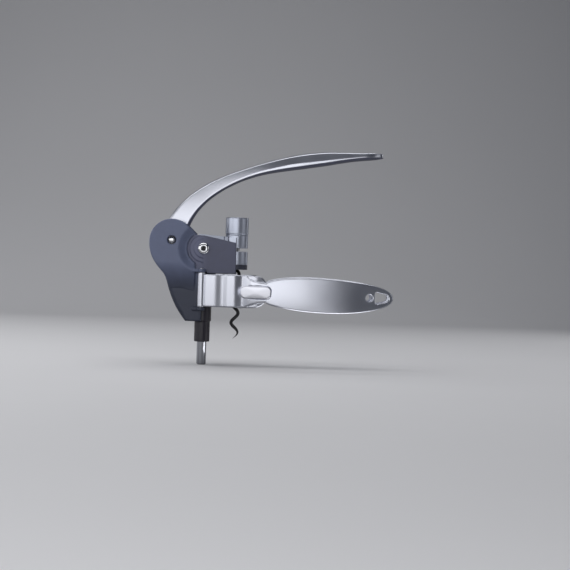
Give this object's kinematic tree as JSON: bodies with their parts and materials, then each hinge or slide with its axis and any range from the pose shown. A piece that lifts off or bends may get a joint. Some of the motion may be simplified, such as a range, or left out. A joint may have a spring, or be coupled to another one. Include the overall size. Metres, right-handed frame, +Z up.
{
  "type": "horizontal lever corkscrew",
  "caption": "Lever corkscrew with a long curved lever geared to a sliding carriage that carries a black worm, and hinged silver grips whose padded jaws close round a bottle's neck.",
  "frame": {"origin": "on the worm's axis, at the lip of the bottle that the jaws close round", "axes": "+X along the closed grips away from the lever's pivot, +Z up along the worm, +Y to the rear grip"},
  "size_m": [0.1926, 0.048, 0.171],
  "materials": {
    "slate_paint": "satin slate-grey paint",
    "dark_slate_paint": "satin dark grey paint",
    "satin_silver": "satin cast metal",
    "bright_silver": "bright satin metal",
    "brushed_silver": "brushed round the axis",
    "chrome": "polished chrome",
    "black_plastic": "matte moulded plastic",
    "black_coating": "matte non-stick coating",
    "soft_pad": "soft matte rubber",
    "steel": "plain machined steel",
    "bronze": "plain turned bronze"
  },
  "bodies": {
    "frame": {"frame_cheek_front": "slate_paint", "frame_cheek_rear": "slate_paint", "frame_spine": "dark_slate_paint", "nut_carrier": "dark_slate_paint", "frame_screws": "steel", "pivot_spacers": "steel", "hinge_pin_front": "steel", "hinge_pin_rear": "steel", "lever_pivot_pin": "chrome", "guide_sleeve": "black_plastic", "rod_bush_upper": "bronze", "rod_bush_lower": "bronze", "worm_nut": "bronze", "nut_collar": "brushed_silver"},
    "lever": {"lever_arm": "satin_silver", "lever_gear_front": "steel", "lever_gear_rear": "steel", "lever_rivets": "steel", "lever_bush": "bronze"},
    "carriage": {"carriage_plate_front": "dark_slate_paint", "carriage_plate_rear": "dark_slate_paint", "carriage_bridge": "dark_slate_paint", "carriage_rack_front": "steel", "carriage_rack_rear": "steel", "carriage_dowels": "steel", "guide_rod": "chrome", "rod_cross_rivet": "chrome", "worm_collar": "brushed_silver", "worm_cap": "brushed_silver", "thrust_washer_lower": "bronze", "thrust_washer_upper": "bronze"},
    "worm": {"worm": "black_coating", "worm_head": "steel", "worm_head_pin": "steel"},
    "grip_front": {"front_grip": "satin_silver", "front_jaw_pad": "soft_pad", "front_grip_inlay": "bright_silver"},
    "grip_rear": {"rear_grip": "satin_silver", "rear_jaw_pad": "soft_pad", "rear_grip_inlay": "bright_silver"}
  },
  "joints": [
    {"name": "lever_pivot", "type": "hinge", "parent": "frame", "child": "lever", "pos_m": [-0.0504, 0, 0.0254], "axis": [0, -1, 0], "range_deg": [0, 175]},
    {"name": "carriage_slide", "type": "slide", "parent": "frame", "child": "carriage", "axis": [0, 0, 1], "range_m": [0, 0.0504]},
    {"name": "worm_spin", "type": "hinge", "parent": "carriage", "child": "worm", "pos_m": [0, 0, 0], "axis": [0, 0, 1], "range_deg": [0, 1179]},
    {"name": "front_grip_hinge", "type": "hinge", "parent": "frame", "child": "grip_front", "pos_m": [-0.0263, -0.0138, -0.013], "axis": [0, 0, -1], "range_deg": [0, 35]},
    {"name": "rear_grip_hinge", "type": "hinge", "parent": "frame", "child": "grip_rear", "pos_m": [-0.0263, 0.0138, -0.013], "axis": [0, 0, 1], "range_deg": [0, 35]}
  ],
  "couplings": [
    {"joint": "carriage_slide", "follows": "lever_pivot", "m_per_rad": 0.0165},
    {"joint": "worm_spin", "follows": "lever_pivot", "ratio": 6.732}
  ]
}
